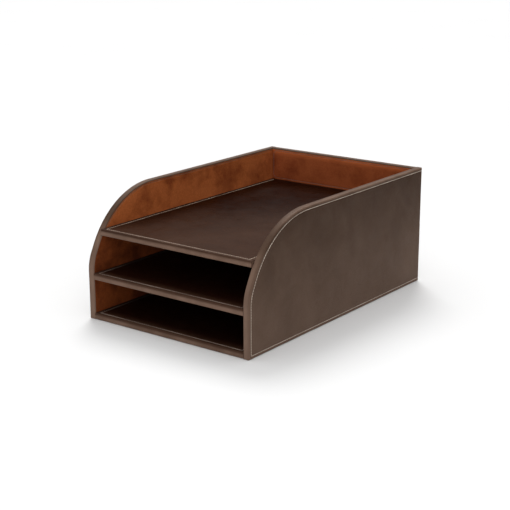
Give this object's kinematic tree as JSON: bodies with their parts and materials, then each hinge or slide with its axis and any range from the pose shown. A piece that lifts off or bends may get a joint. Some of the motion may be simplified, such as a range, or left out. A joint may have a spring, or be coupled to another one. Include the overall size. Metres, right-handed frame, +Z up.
{
  "type": "three-level letter tray desk organizer",
  "caption": "Stacked letter tray for a desk: two closed bays and an open top tray, leather-wrapped boards with suede linings and curved sides.",
  "frame": {"origin": "centre of the underside's rectangle, at desk level", "axes": "+X to the right across the width, +Y to the back along the depth, +Z up; the open front faces -Y"},
  "size_m": [0.25, 0.382, 0.158],
  "materials": {
    "leather": "dark brown leather, semi-matt, fine grain",
    "suede_lining": "tan brushed suede, mottled nap",
    "thread": "pale beige waxed thread",
    "lining_thread": "brown thread",
    "fibreboard": "raw medium density fibreboard",
    "steel_brads": "bright wire",
    "felt": "dark brown felt"
  },
  "bodies": {
    "root": {"back_board": "fibreboard", "back_brads": "steel_brads", "back_cover": "leather", "back_thread": "thread", "base_board": "fibreboard", "base_cover": "leather", "base_felt": "felt", "base_thread": "thread", "left_brads": "steel_brads", "left_side_board": "fibreboard", "left_side_cover": "leather", "left_side_thread": "thread", "lower_back_lining": "suede_lining", "lower_left_lining": "suede_lining", "lower_right_lining": "suede_lining", "middle_back_lining": "suede_lining", "middle_left_lining": "suede_lining", "middle_right_lining": "suede_lining", "middle_shelf_board": "fibreboard", "middle_shelf_cover": "leather", "middle_shelf_thread": "thread", "right_brads": "steel_brads", "right_side_board": "fibreboard", "right_side_cover": "leather", "right_side_thread": "thread", "top_shelf_board": "fibreboard", "top_shelf_cover": "leather", "top_shelf_thread": "thread", "upper_back_lining": "suede_lining", "upper_back_lining_thread": "lining_thread", "upper_left_lining": "suede_lining", "upper_left_lining_thread": "lining_thread", "upper_right_lining": "suede_lining", "upper_right_lining_thread": "lining_thread"}
  },
  "joints": []
}
